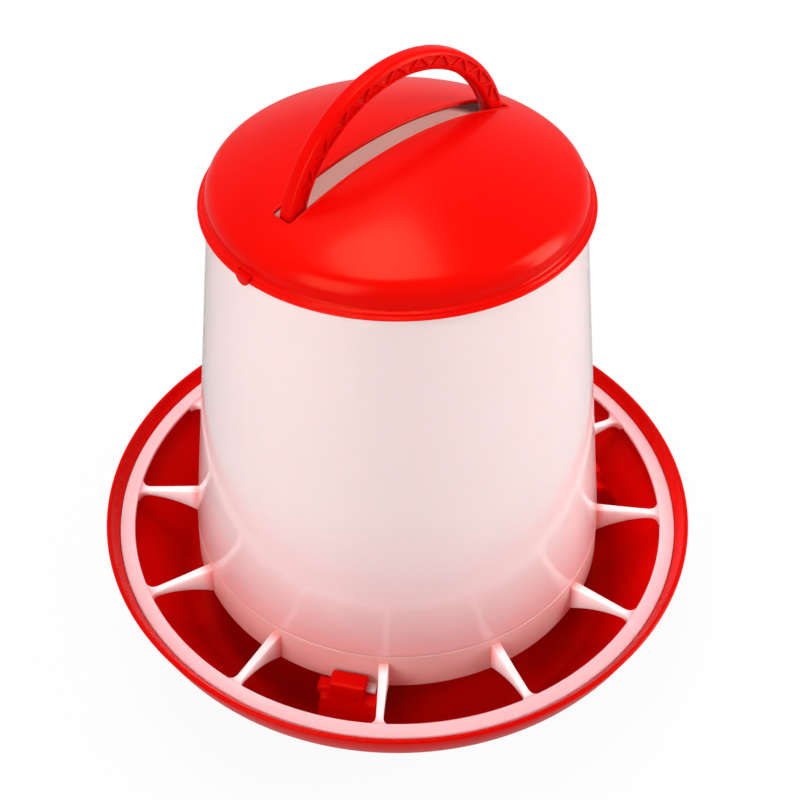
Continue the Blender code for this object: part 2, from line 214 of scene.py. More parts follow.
# Colours
RED_BRIGHT = (0.61, 0.0013, 0.0006)
RED_DEEP = (0.575, 0.0011, 0.0005)
# Painted shade: the pan's rim, outside the guard's ring, is coloured a darker red than its bowl
RED_RIM_PAINTED_SHADE = (0.49, 0.0010, 0.0005)
RED_SCUFF = (0.80, 0.06, 0.04)
# The hopper's colours are painted red light from the pan and lid: faintly pink at the top, pinker towards the
# foot, where they also hold painted shade
HOPPER_FOOT_PAINTED_RED_LIGHT_AND_SHADE = (0.86, 0.38, 0.375)
HOPPER_MIDDLE_PAINTED_RED_LIGHT = (0.94, 0.55, 0.55)
HOPPER_TOP_PAINTED_RED_LIGHT = (0.98, 0.63, 0.615)
# The guard's colours are painted light and shade: painted shade and red light at the collar, a faint painted
# pink in the spokes and painted red light in the ring that lies on the red pan
COLLAR_PAINTED_SHADE_AND_RED_LIGHT = (0.92, 0.37, 0.35)
SPOKE_PAINTED_FAINT_RED_LIGHT = (0.98, 0.74, 0.74)
RING_PAINTED_RED_LIGHT = (0.95, 0.46, 0.48)
MILKY_SCUFF = (0.97, 0.86, 0.85)

# Where the colours change
# Width over which the pan's painted rim shade comes in
RIM_SHADE_FADE = 0.002
# Heights over which the hopper's painted red light and shade fade upwards from its foot, with a cloudy edge
PAINTED_RED_LIGHT_MIDDLE_RISE = 0.035
PAINTED_RED_LIGHT_TOP_RISE = 0.077
HOPPER_CLOUD = 0.003
# Widths over which the guard's painted light and shade change, and the cloudy edge between them
COLLAR_FADE = 0.004
GUARD_CLOUD = 0.001

# Plastics
RED_BODY = {
    "IOR": 1.48,
    "Specular Tint": (1.0, 0.66, 0.34, 1.0),
    "Subsurface Weight": 0.12,
    "Subsurface Radius": (1.0, 0.12, 0.08),
    "Subsurface Scale": 0.002,
}
RED_FLOW = (0.35, 0.65)
RED_SCRATCHES = 0.03
RED_RUB = 0.05
RED_GRAIN_DEPTH = 0.00002
MILKY_BODY = {
    "IOR": 1.49,
    "Subsurface Weight": 0.9,
    "Subsurface Radius": (1.0, 0.75, 0.70),
    "Subsurface Scale": 0.008,
}
MILKY_SCRATCHES = 0.08
MILKY_RUB = 0.04
MILKY_GRAIN_DEPTH = 0.00001
GLOSS_SPREAD = 0.15
GRAIN_STRENGTH = 0.25
GRAIN_SPAN = (0.2, 0.8)
GRAIN_SCALE = 900.0
FLOW_SPAN = (0.3, 0.7)
FLOW_SCALE = 14.0
FLOW_DISTORTION = 0.8
PATCH_SPAN = (0.48, 0.72)
PATCH_SCALE = 22.0
SCRATCH_SPAN = (0.69, 0.74)
SCRATCH_SCALE = 60.0
SCRATCH_STRETCH = (1.0, 22.0, 22.0)
SCRATCH_TURNS = ((0.5, 0.4, 0.5), (1.9, 0.4, 1.9))

# Camera and light
CAMERA_SENSOR = 36
CAMERA_LENS = 57.08
CAMERA_SHIFT = 0.0032
CAMERA_NEAREST = 0.01
CAMERA_PLACE = (-0.2807, -0.2907, 0.4929)
CAMERA_TILT = math.radians(46.56)
CAMERA_TURN = math.radians(-44.0)
FLOOR_SIZE = 6.0
FLOOR_PALENESS = (0.62, 0.62, 0.62, 1)
FLOOR_ROUGHNESS = 0.9
FLOOR_WHITENESS = 0.93
WHITE = (1, 1, 1, 1)
WORLD_LIGHT = 0.44

# Levels and radii that pieces share
RING_TOP = PAN_HEIGHT - RING_DROP
RING_BOTTOM = RING_TOP - RING_THICKNESS
RING_INNER = RING_RADIUS - RING_WIDTH
LEDGE = RING_BOTTOM - FIT
SEAM = guard_high.z
COLLAR_BOTTOM = guard_low.z
COLLAR_FOOT_RADIUS = COLLAR_RADIUS + COLLAR_FLARE
SHELF = COLLAR_BOTTOM - FIT
PAN_FLOOR = FOOT_HEIGHT + PAN_WALL
FLOOR_RADIUS = PAN_BASE_RADIUS - PAN_WALL
WALL_BEND = PAN_HEIGHT - WALL_BEND_DROP
INNER_BEND = (WALL_BEND_RADIUS - PAN_WALL, WALL_BEND + PAN_WALL / 3)
HOPPER_RIM = LID_BOTTOM - FIT
NECK_RADIUS = HOPPER_TOP_RADIUS - NECK_STEP
LID_WALL_RADIUS = LID_RADIUS - LID_FLANGE
LID_TOP = LID_BOTTOM + LID_RISE
DOME_CENTRE = LID_TOP - DOME_RADIUS
ARCH_CENTRE = HANDLE_TOP - HANDLE_RADIUS
PIN_HEIGHT = HOPPER_RIM + PIN_RISE
PIN_HOLE_RADIUS = PIN_RADIUS + FIT


def arc(centre, radius, start, end, steps):
    """Points on an arc in the (radius, height) plane, with angles in degrees from the outward direction."""
    angles = [math.radians(start + (end - start) * step / steps) for step in range(steps + 1)]
    return [(centre[0] + radius * math.cos(a), centre[1] + radius * math.sin(a)) for a in angles]


def rounded_line(corners, closed=False):
    """Points along a line of (radius, height, rounding) corners, with each corner turned into an arc."""
    points = []
    last = len(corners) - 1
    for number, (across, height, rounding) in enumerate(corners):
        if rounding == 0 or (not closed and number in (0, last)):
            points.append((across, height))
            continue
        here = Vector((across, height))
        before = Vector(corners[number - 1][:2]) - here
        after = Vector(corners[(number + 1) % (last + 1)][:2]) - here
        half_opening = before.angle(after) / 2
        longest = LONGEST_SETBACK * min(before.length, after.length)
        setback = min(rounding / math.tan(half_opening), longest)
        radius = setback * math.tan(half_opening)
        before.normalize()
        after.normalize()
        centre = here + (before + after).normalized() * (radius / math.sin(half_opening))
        start = here + before * setback - centre
        sweep = start.angle_signed(here + after * setback - centre)
        first = math.atan2(start.y, start.x)
        steps = max(2, math.ceil(abs(sweep) / ROUND_STEP))
        for step in range(steps + 1):
            angle = first - sweep * step / steps
            points.append((centre.x + radius * math.cos(angle), centre.y + radius * math.sin(angle)))
    return points


def select_only(*pieces):
    """Leaves just these objects selected, the first of them active."""
    bpy.ops.object.select_all(action="DESELECT")
    for piece in pieces:
        piece.select_set(True)
    bpy.context.view_layer.objects.active = pieces[0]


def trace_line(name, points):
    """Draws a line of points in a new object, one extruded corner at a time, and stays in edit mode."""
    bpy.ops.object.select_all(action="DESELECT")
    bpy.ops.mesh.primitive_plane_add(size=SAME_POINT, location=points[0])
    piece = bpy.context.active_object
    piece.name = name
    bpy.ops.object.transform_apply(location=True, rotation=True, scale=True)
    bpy.ops.object.mode_set(mode="EDIT")
    bpy.ops.mesh.select_all(action="SELECT")
    bpy.ops.mesh.merge(type="CENTER")
    for here, there in zip(points, points[1:]):
        step = Vector(there) - Vector(here)
        bpy.ops.mesh.extrude_vertices_move(TRANSFORM_OT_translate={"value": step})
    bpy.ops.mesh.select_all(action="SELECT")
    return piece


def close_mesh():
    """Merges the seams and poles of the mesh in edit mode, turns its faces outwards and leaves edit mode."""
    bpy.ops.mesh.select_all(action="SELECT")
    bpy.ops.mesh.remove_doubles(threshold=SAME_POINT)
    bpy.ops.mesh.normals_make_consistent(inside=False)
    bpy.ops.object.mode_set(mode="OBJECT")


def turned(name, line, closed=False):
    """A moulding turned about the feeder's axis from a line of (radius, height) points."""
    path = line + line[:1] if closed else line
    piece = trace_line(name, [(radius, 0.0, height) for radius, height in path])
    bpy.ops.mesh.spin(steps=TURN_STEPS, angle=2 * math.pi, center=(0, 0, 0), axis=(0, 0, 1))
    close_mesh()
    return piece


def slab(name, outline, width, shift=0.0):
    """An upright outline of (radius, height) points, given its width across the radius."""
    near = shift - width / 2
    piece = trace_line(name, [(across, near, height) for across, height in outline])
    bpy.ops.mesh.edge_face_add()
    bpy.ops.mesh.extrude_region_move(TRANSFORM_OT_translate={"value": (0, width, 0)})
    close_mesh()
    return piece


def soften(piece, width, segments=3, angle=SHARP_DEGREES):
    """Rounds the sharp edges of a piece."""
    select_only(piece)
    edge = piece.modifiers.new("softened_edges", "BEVEL")
    edge.width = width
    edge.segments = segments
    edge.limit_method = "ANGLE"
    edge.angle_limit = math.radians(angle)
    bpy.ops.object.modifier_apply(modifier=edge.name)


def merge_into(piece, tool, operation="UNION"):
    """Joins a tool to a piece or cuts it away, and removes the tool."""
    select_only(piece)
    step = piece.modifiers.new(tool.name, "BOOLEAN")
    step.operation = operation
    step.solver = "EXACT"
    step.object = tool
    bpy.ops.object.modifier_apply(modifier=step.name)
    bpy.data.objects.remove(tool, do_unlink=True)


def turn_piece(piece, angle):
    """Turns a piece about the feeder's axis and leaves its place in its mesh."""
    select_only(piece)
    piece.rotation_euler.z = angle
    bpy.ops.object.transform_apply(location=True, rotation=True, scale=True)


def repeat_round(piece, count, start):
    """Copies of a piece spaced evenly round the feeder's axis, joined in one object."""
    turn_piece(piece, start)
    copies = [piece]
    for number in range(1, count):
        select_only(piece)
        bpy.ops.object.duplicate()
        copy = bpy.context.active_object
        turn_piece(copy, 2 * math.pi * number / count)
        copies.append(copy)
    select_only(*copies)
    bpy.ops.object.join()
    return bpy.context.active_object


def cross_rod(name, radius, length, middle):
    """A round rod along the line of the handle's pins."""
    bpy.ops.object.select_all(action="DESELECT")
    bpy.ops.mesh.primitive_cylinder_add(
        vertices=PIN_SIDES,
        radius=radius,
        depth=length,
        location=(middle, 0, PIN_HEIGHT),
        rotation=(0, math.pi / 2, 0),
    )
    rod = bpy.context.active_object
    rod.name = name
    bpy.ops.object.transform_apply(location=True, rotation=True, scale=True)
    return rod


def smooth_skin(piece, angle=SMOOTH_DEGREES):
    """Shades a piece smoothly, apart from its sharp edges."""
    select_only(piece)
    bpy.ops.object.shade_smooth_by_angle(angle=math.radians(angle))


def make_pan():
    """The red pan: a cone in the middle, a rounded bowl, a seat for the guard's ring and a flared rim."""
    seat = RING_RADIUS + FIT
    slope = math.atan2(CONE_HEIGHT, CONE_RADIUS)
    tip_angle = 90 - math.degrees(slope)
    tip_centre = PAN_FLOOR + CONE_HEIGHT - CONE_TIP_RADIUS / math.cos(slope)
    hollow_drop = PAN_WALL / math.cos(slope)
    under_cone = CONE_RADIUS - (PAN_WALL - hollow_drop) / math.tan(slope)
    tip = arc((0.0, tip_centre), CONE_TIP_RADIUS, 90, tip_angle, CONE_TIP_STEPS)
    edge = PAN_WALL / 2
    rim = arc((PAN_RADIUS - edge, PAN_HEIGHT - edge), edge, 180, 0, RIM_STEPS)
    inside = [
        (*tip[-1], 0),
        (CONE_RADIUS, PAN_FLOOR, 2 * FLOOR_FILLET),
        (FLOOR_RADIUS, PAN_FLOOR, FLOOR_FILLET),
        (*INNER_BEND, BEND_ROUNDING),
        (seat - LEDGE_WIDTH, LEDGE, SEAT_EDGE),
        (seat, LEDGE, SEAT_CORNER),
        (seat, RING_TOP, RIM_HOLLOW),
        (*rim[0], 0),
    ]
    outside = [
        (*rim[-1], 0),
        (WALL_BEND_RADIUS, WALL_BEND, BEND_ROUNDING),
        (PAN_BASE_RADIUS, FOOT_HEIGHT, HEEL_ROUNDING),
        (PAN_BASE_RADIUS, 0.0, FOOT_EDGE),
        (PAN_BASE_RADIUS - FOOT_WIDTH, 0.0, FOOT_EDGE),
        (PAN_BASE_RADIUS - FOOT_WIDTH, FOOT_HEIGHT, FOOT_CORNER),
        (under_cone, FOOT_HEIGHT, 2 * FLOOR_FILLET),
        (0.0, PAN_FLOOR + CONE_HEIGHT - hollow_drop, 0),
    ]
    tip[0] = (0.0, tip[0][1])
    pan = turned("feed_pan", tip[:-1] + rounded_line(inside) + rim[1:-1] + rounded_line(outside))
    merge_into(pan, make_lugs())
    smooth_skin(pan)
    return pan


def make_lugs():
    """The pan's three lugs: a pedestal, the hook over a tongue and the stop at its closed end."""
    inner = COLLAR_RADIUS - COLLAR_WALL
    hook_inner = COLLAR_FOOT_RADIUS + 2 * FIT
    post_inner = COLLAR_FOOT_RADIUS + TONGUE_REACH + 2 * FIT
    post_outer = post_inner + HOOK_POST
    hook_under = COLLAR_BOTTOM + TONGUE_THICKNESS + LOCK_PLAY
    hook_top = hook_under + HOOK_THICKNESS
    root = PAN_FLOOR - PAN_WALL / 2
    sunk = SHELF - PAN_WALL
    buried = PAN_FLOOR + (SHELF - PAN_FLOOR) / 2
    wall_lean = (INNER_BEND[0] - FLOOR_RADIUS) / (INNER_BEND[1] - PAN_FLOOR)
    wall_there = FLOOR_RADIUS + wall_lean * (buried - PAN_FLOOR)
    pedestal = slab(
        "lugs",
        [
            (inner, root),
            (PAN_BASE_RADIUS - PAN_WALL / 2, root),
            (wall_there + PAN_WALL / 3, buried),
            (post_outer, SHELF),
            (inner, SHELF),
        ],
        PEDESTAL_LENGTH,
        PEDESTAL_SHIFT,
    )
    narrow_top(pedestal, SHELF, PEDESTAL_NARROWING, PEDESTAL_LEAN)
    hook = slab(
        "hook",
        [
            (post_inner, sunk),
            (post_outer, sunk),
            (post_outer - HOOK_POST / 4, hook_top),
            (hook_inner, hook_top),
            (hook_inner, hook_under),
            (post_inner, hook_under),
        ],
        HOOK_LENGTH,
        HOOK_SHIFT,
    )
    narrow_top(hook, hook_top, HOOK_NARROWING, HOOK_LEAN)
    merge_into(pedestal, hook)
    stop_end = TONGUE_SHIFT - TONGUE_LENGTH / 2 - LOCK_PLAY
    stop_length = stop_end - HOOK_SHIFT + HOOK_LENGTH / 2 - LOCK_PLAY
    stop = slab(
        "stop",
        [
            (hook_inner + FIT, sunk),
            (post_inner + HOOK_POST / 2, sunk),
            (post_inner + HOOK_POST / 2, hook_under),
            (hook_inner + FIT, hook_under),
        ],
        stop_length,
        stop_end - stop_length / 2,
    )
    merge_into(pedestal, stop)
    round_off(pedestal)
    return repeat_round(pedestal, LOCK_COUNT, LOCK_START)


def narrow_top(piece, level, share, shift):
    """Draws in the corners at a level, so that the sides lean in towards it, and moves them along."""
    for corner in piece.data.vertices:
        corner.select = abs(corner.co.z - level) < SAME_POINT
    middle = sum(corner.co.y for corner in piece.data.vertices) / len(piece.data.vertices)
    select_only(piece)
    bpy.ops.object.mode_set(mode="EDIT")
    bpy.ops.transform.resize(value=(1, share, 1), center_override=(0, middle, level))
    bpy.ops.transform.translate(value=(0, shift, 0))
    bpy.ops.object.mode_set(mode="OBJECT")


def round_off(piece):
    """Turns a blocky lug into a soft moulded lump."""
    select_only(piece)
    skin = piece.modifiers.new("skin", "REMESH")
    skin.mode = "VOXEL"
    skin.voxel_size = LUG_SKIN
    bpy.ops.object.modifier_apply(modifier=skin.name)
    ease = piece.modifiers.new("ease", "SMOOTH")
    ease.factor = LUG_SMOOTHING_SHARE
    ease.iterations = LUG_SMOOTHING
    bpy.ops.object.modifier_apply(modifier=ease.name)


def make_guard():
    """The milky guard: a flat ring, a collar under the hopper, finned spokes and locking tongues."""
    collar = [
        (COLLAR_RADIUS, SEAM, COLLAR_TOP_EDGE),
        (COLLAR_FOOT_RADIUS, COLLAR_BOTTOM, COLLAR_FOOT_EDGE),
        (COLLAR_FOOT_RADIUS - COLLAR_WALL, COLLAR_BOTTOM, COLLAR_FOOT_EDGE),
        (COLLAR_RADIUS - COLLAR_WALL, SEAM, COLLAR_TOP_EDGE),
    ]
    ring = [
        (RING_RADIUS, RING_TOP, RING_TOP_EDGE),
        (RING_RADIUS, RING_BOTTOM, RING_SEAT_EDGE),
        (RING_INNER, RING_BOTTOM, RING_MOUTH_FOOT_EDGE),
        (RING_INNER, RING_TOP, RING_MOUTH_EDGE),
    ]
    guard = turned("feed_guard_grille", rounded_line(collar, closed=True), closed=True)
    merge_into(guard, repeat_round(make_spoke(), SPOKE_COUNT, SPOKE_START))
    merge_into(guard, turned("guard_ring", rounded_line(ring, closed=True), closed=True))
    tongue_root = COLLAR_FOOT_RADIUS - TONGUE_ROOT
    tongue = slab(
        "tongues",
        [
            (tongue_root, COLLAR_BOTTOM),
            (COLLAR_FOOT_RADIUS + TONGUE_REACH, COLLAR_BOTTOM),
            (COLLAR_FOOT_RADIUS + TONGUE_REACH, COLLAR_BOTTOM + TONGUE_THICKNESS),
            (tongue_root, COLLAR_BOTTOM + TONGUE_THICKNESS),
        ],
        TONGUE_LENGTH,
        TONGUE_SHIFT,
    )
    soften(tongue, TONGUE_EDGE)
    merge_into(guard, repeat_round(tongue, LOCK_COUNT, LOCK_START))
    smooth_skin(guard)
    return guard


def fillet_width(distance, radius):
    """How far a fillet stands out at a distance from the wall that it meets."""
    if distance >= radius:
        return 0.0
    return radius - math.sqrt(radius**2 - (radius - max(distance, 0.0)) ** 2)


def spoke_stations():
    """(radius, half width, top, foot) of the fin at places from inside the collar to inside the ring."""
    root = COLLAR_RADIUS - COLLAR_WALL / 2
    face = COLLAR_FOOT_RADIUS
    buried = RING_INNER + RING_WIDTH / 4
    reaches = [1 - math.cos(math.radians(angle)) for angle in SPOKE_FILLET_DEGREES]
    near_ring = [RING_INNER - SPOKE_RING_FILLET * reach for reach in reaches]
    between = [face + (near_ring[0] - face) * step / SPOKE_STEPS for step in range(1, SPOKE_STEPS)]
    high_root = SEAM - SPOKE_ROOT_DROP
    low_root = COLLAR_BOTTOM + TONGUE_THICKNESS / 3
    stations = []
    for radius in [root, face, *between, *near_ring, buried]:
        share = min(max((radius - face) / (RING_INNER - face), 0.0), 1.0)
        rise = 1 - (1 - share) ** 2
        fillet = fillet_width(RING_INNER - radius, SPOKE_RING_FILLET)
        half = SPOKE_THICKNESS / 2 + SPOKE_ROOT_WIDENING * (1 - share) ** 2 + fillet
        top = high_root + (RING_TOP - SPOKE_TIP_DROP - high_root) * share + fillet / 3
        foot = low_root + (RING_TOP - SPOKE_TIP_DEPTH - low_root) * rise
        stations.append((radius, half, top, foot))
    return stations


def make_spoke():
    """One fin, drawn out from the collar to the ring one station at a time."""
    stations = spoke_stations()
    radius, half, top, foot = stations[0]
    bpy.ops.object.select_all(action="DESELECT")
    bpy.ops.mesh.primitive_plane_add(
        size=1,
        location=(radius, 0, (top + foot) / 2),
        rotation=(0, math.pi / 2, 0),
    )
    spoke = bpy.context.active_object
    spoke.name = "spokes"
    spoke.scale = (top - foot, 2 * half, 1)
    bpy.ops.object.transform_apply(location=True, rotation=True, scale=True)
    bpy.ops.object.mode_set(mode="EDIT")
    bpy.ops.mesh.select_all(action="SELECT")
    for before, after in zip(stations, stations[1:]):
        middle = (after[2] + after[3]) / 2
        out = (after[0] - before[0], 0, middle - (before[2] + before[3]) / 2)
        bpy.ops.mesh.extrude_region_move(TRANSFORM_OT_translate={"value": out})
        growth = (1, after[1] / before[1], (after[2] - after[3]) / (before[2] - before[3]))
        bpy.ops.transform.resize(value=growth, center_override=(after[0], 0, middle))
    close_mesh()
    soften(spoke, SPOKE_EDGE, angle=SPOKE_SHARP_DEGREES)
    return spoke


def make_hopper():
    """The milky cone of the hopper with its spigot, its rim bead and the neck for the handle's pins."""
    neck_top = HOPPER_RIM + NECK_HEIGHT
    neck_inner = NECK_RADIUS - HOPPER_WALL
    spigot = COLLAR_RADIUS - COLLAR_WALL - FIT
    spigot_inner = spigot - SPIGOT_WALL
    foot = SEAM + FIT
    blend = 2 * SPIGOT_WALL
    lean = (COLLAR_RADIUS - HOPPER_TOP_RADIUS) / (HOPPER_RIM - SEAM)
    inner_foot = foot + blend + COLLAR_RADIUS - HOPPER_WALL - spigot_inner
    under_bead = HOPPER_RIM - BEAD_THICKNESS
    corners = [
        (NECK_RADIUS - NECK_TAPER, neck_top, NECK_EDGE),
        (NECK_RADIUS, HOPPER_RIM, NECK_FILLET),
        (HOPPER_TOP_RADIUS + BEAD_REACH, HOPPER_RIM, BEAD_EDGE),
        (HOPPER_TOP_RADIUS + BEAD_REACH, under_bead, BEAD_EDGE),
        (HOPPER_TOP_RADIUS, under_bead, BEAD_FILLET),
        (COLLAR_RADIUS, foot, HOPPER_FOOT_EDGE),
        (spigot, foot, SPIGOT_FILLET),
        (spigot, hopper_low.z, SPIGOT_EDGE),
        (spigot_inner, hopper_low.z, SPIGOT_EDGE),
        (spigot_inner, foot + blend, SPIGOT_EASE),
        (COLLAR_RADIUS - HOPPER_WALL - lean * (inner_foot - foot), inner_foot, SPIGOT_EASE),
        (HOPPER_TOP_RADIUS - HOPPER_WALL, under_bead - NECK_STEP, NECK_EASE),
        (neck_inner, HOPPER_RIM, NECK_EASE),
        (neck_inner - NECK_TAPER, neck_top, NECK_EDGE),
    ]
    hopper = turned("hopper_cone", rounded_line(corners, closed=True), closed=True)
    for side in (-1, 1):
        hole = cross_rod("pin_hole", PIN_HOLE_RADIUS, 4 * NECK_HEIGHT, side * NECK_RADIUS)
        merge_into(hopper, hole, "DIFFERENCE")
    smooth_skin(hopper)
    return hopper


def lid_curve(offset):
    """The dome and rounded shoulder from the apex down to the wall, moved inwards by offset."""
    across = LID_WALL_RADIUS - SHOULDER_RADIUS
    reach = DOME_RADIUS - SHOULDER_RADIUS
    centre = (across, DOME_CENTRE + math.sqrt(reach**2 - across**2))
    meet = math.degrees(math.acos(across / reach))
    dome = arc((0.0, DOME_CENTRE), DOME_RADIUS - offset, 90, meet, DOME_STEPS)
    dome[0] = (0.0, dome[0][1])
    return dome + arc(centre, SHOULDER_RADIUS - offset, meet, 0, SHOULDER_STEPS)[1:]


def slot_outline():
    """(x, y) points round the lid's slot, along the middle of the bead at its edge."""
    half_width = SLOT_HALF_WIDTH + SLOT_BEAD
    corner = SLOT_CORNER + SLOT_BEAD
    straight = SLOT_HALF_LENGTH + SLOT_BEAD - corner
    side = half_width - corner
    points = []
    for along, across, start in ((1, 1, 0), (-1, 1, 90), (-1, -1, 180), (1, -1, 270)):
        points += arc((along * straight, across * side), corner, start, start + 90, SLOT_CORNER_STEPS)
        if along == across:
            shares = [1 - 2 * step / SLOT_SIDE_STEPS for step in range(1, SLOT_SIDE_STEPS)]
            points += [(along * straight * share, across * half_width) for share in shares]
    return points


def make_lid():
    """The red lid: a shallow dome with a round shoulder, a stepped flange and a slot for the handle."""
    wall = LID_WALL_RADIUS
    flange = LID_BOTTOM + LID_FLANGE_THICKNESS
    step, past_step = [wall + LID_FLANGE * share for share in LID_STEP_SHARES]
    outside = lid_curve(0.0)
    inside = lid_curve(LID_WALL)
    corners = [
        (*outside[-1], 0),
        (wall, flange + LID_FLANGE_CREST, LID_FLANGE_FILLET),
        (step, flange, LID_STEP_EDGE),
        (past_step, flange - LID_STEP_DROP, LID_STEP_FILLET),
        (LID_RADIUS, flange - LID_EDGE_DROP, LID_EDGE),
        (LID_RADIUS, LID_BOTTOM, LID_FOOT_EDGE),
        (wall - LID_WALL, LID_BOTTOM, LID_FOOT_EDGE),
        (*inside[-1], 0),
    ]
    lid = turned("lid_dome", outside[:-1] + rounded_line(corners) + inside[-2::-1])
    slot = trace_line("slot", [(x, y, LID_TOP - LID_RISE / 2) for x, y in slot_outline()])
    bpy.ops.mesh.edge_face_add()
    bpy.ops.mesh.extrude_region_move(TRANSFORM_OT_translate={"value": (0, 0, LID_RISE)})
    close_mesh()
    merge_into(lid, slot, "DIFFERENCE")
    merge_into(lid, slot_bead())
    for side in (-1, 1):
        merge_into(lid, pin_notch(side), "DIFFERENCE")
    smooth_skin(lid)
    return lid


def slot_bead():
    """A round bead along the edge of the slot, standing a little proud of the dome."""
    line = bpy.data.curves.new("slot_bead", "CURVE")
    line.dimensions = "3D"
    line.bevel_depth = SLOT_BEAD
    line.bevel_resolution = SLOT_BEAD_STEPS
    outline = slot_outline()
    spline = line.splines.new("POLY")
    spline.points.add(len(outline) - 1)
    for point, (x, y) in zip(spline.points, outline):
        level = DOME_CENTRE + math.sqrt(DOME_RADIUS**2 - x**2 - y**2)
        point.co = (x, y, level - SLOT_BEAD * SLOT_BEAD_SINK, 1)
    spline.use_cyclic_u = True
    bead = bpy.data.objects.new("slot_bead", line)
    bpy.context.scene.collection.objects.link(bead)
    select_only(bead)
    bpy.ops.object.convert(target="MESH")
    bpy.ops.object.mode_set(mode="EDIT")
    close_mesh()
    return bead


def pin_notch(side):
    """A flat-topped notch in the lid's flange that lets the lid drop over the tab at the end of a pin."""
    top = LID_BOTTOM + LID_FLANGE_THICKNESS + FIT / 2
    foot = LID_BOTTOM - LID_FLANGE
    half = PIN_HOLE_RADIUS
    outline = [(half, foot), (half, top), (-half, top), (-half, foot)]
    notch = slab("pin_notch", outline, 6 * LID_FLANGE, side * LID_RADIUS)
    turn_piece(notch, -math.pi / 2)
    return notch


def make_handle():
    """The red handle: an arch with a zig-zag of ribs in its sides and a round pin at the foot of each leg."""
    middle = HANDLE_RADIUS - HANDLE_DEPTH / 2
    foot = math.asin((LEG_FOOT - ARCH_CENTRE) / HANDLE_RADIUS)
    bpy.ops.object.select_all(action="DESELECT")
    bpy.ops.mesh.primitive_plane_add(size=1, location=(middle, 0, 0))
    handle = bpy.context.active_object
    handle.name = "handle_arch"
    handle.scale = (HANDLE_DEPTH, HANDLE_WIDTH, 1)
    bpy.ops.object.transform_apply(location=True, rotation=True, scale=True)
    swing_up(handle, foot)
    bpy.ops.object.mode_set(mode="EDIT")
    bpy.ops.mesh.select_all(action="SELECT")
    bpy.ops.mesh.bevel(offset=HANDLE_EDGE, segments=HANDLE_EDGE_STEPS, affect="VERTICES")
    bpy.ops.mesh.select_all(action="SELECT")
    bpy.ops.mesh.spin(
        steps=HANDLE_STEPS,
        angle=math.pi - 2 * foot,
        center=(0, 0, ARCH_CENTRE),
        axis=(0, 1, 0),
    )
    close_mesh()
    for side in (-1, 1):
        merge_into(handle, make_pin(side))
    merge_into(handle, make_truss_pockets(), "DIFFERENCE")
    smooth_skin(handle, HANDLE_SMOOTH_DEGREES)
    return handle


def make_pin(side):
    """A round pin through the neck that ends in a flat-topped tab, flush with the lid's flange."""
    inner = HANDLE_RADIUS - HANDLE_DEPTH / 2
    pin = cross_rod("pin", PIN_RADIUS, PIN_REACH - inner, side * (PIN_REACH + inner) / 2)
    soften(pin, PIN_EDGE)
    tab = NECK_RADIUS + FIT
    tab_top = LID_BOTTOM + LID_FLANGE_THICKNESS - PIN_TAB_DROP
    past = PIN_REACH + PIN_RADIUS
    above = PIN_HEIGHT + 2 * PIN_RADIUS
    trim = slab("pin_trim", [(tab, tab_top), (past, tab_top), (past, above), (tab, above)], 4 * PIN_RADIUS)
    turn_piece(trim, 0 if side > 0 else math.pi)
    merge_into(pin, trim, "DIFFERENCE")
    return pin


def make_truss_pockets():
    """Triangular pockets for both sides of the arch, pointing in and out by turns."""
    middle = HANDLE_RADIUS - HANDLE_DEPTH / 2
    pitch = TRUSS_SPAN / TRUSS_COUNT
    height = HANDLE_DEPTH - 2 * TRUSS_RAIL
    base = 2 * (middle * pitch - TRUSS_RIB)
    pockets = []
    for number in range(TRUSS_COUNT):
        angle = (math.pi - TRUSS_SPAN) / 2 + (number + 0.5) * pitch
        point = 1 if number % 2 else -1
        tip = middle + point * height / 2
        back = middle - point * height / 2
        outline = [(tip, 0.0), (back, base / 2), (back, -base / 2)]
        for side in (-1, 1):
            pocket = slab("truss_pockets", outline, 2 * TRUSS_DEPTH, side * HANDLE_WIDTH / 2)
            soften(pocket, TRUSS_CORNER, segments=2)
            swing_up(pocket, angle)
            pockets.append(pocket)
    select_only(*pockets)
    bpy.ops.object.join()
    return bpy.context.active_object


def swing_up(piece, angle):
    """Swings a piece that was made level with the arch's middle up along the arch."""
    select_only(piece)
    piece.rotation_euler.y = -angle
    piece.location.z = ARCH_CENTRE
    bpy.ops.object.transform_apply(location=True, rotation=True, scale=True)


def new_group(name, inputs, outputs):
    """An empty shader node group with these named sockets, and what runs in and out of it.

    An input with a value is a number, and one without is a vector. The outputs are numbers.
    """
    group = bpy.data.node_groups.new(name, "ShaderNodeTree")
    for label, value in inputs.items():
        kind = "NodeSocketVector" if value is None else "NodeSocketFloat"
        made = group.interface.new_socket(label, in_out="INPUT", socket_type=kind)
        if value is not None:
            made.default_value = value
    for label in outputs:
        group.interface.new_socket(label, in_out="OUTPUT", socket_type="NodeSocketFloat")
    start = group.nodes.new("NodeGroupInput")
    end = group.nodes.new("NodeGroupOutput")
    return group, start.outputs, end.inputs


def add_node(tree, kind, values=None, **settings):
    """A new node with these settings, its inputs linked to other nodes or set to fixed values."""
    made = tree.nodes.new(kind)
    for name, value in settings.items():
        setattr(made, name, value)
    for socket, value in (values or {}).items():
        if isinstance(value, bpy.types.NodeSocket):
            tree.links.new(value, made.inputs[socket])
        else:
            made.inputs[socket].default_value = value
    return made


def span(tree, value, low, high, lowest=0.0, highest=1.0):
    """Stretches a value that runs from low to high so that it runs from lowest to highest."""
    made = add_node(
        tree,
        "ShaderNodeMapRange",
        {"Value": value, "From Min": low, "From Max": high, "To Min": lowest, "To Max": highest},
        clamp=True,
    )
    return made.outputs["Result"]


def combine(tree, operation, first, second):
    """One value worked out from two."""
    return add_node(tree, "ShaderNodeMath", {0: first, 1: second}, operation=operation).outputs[0]


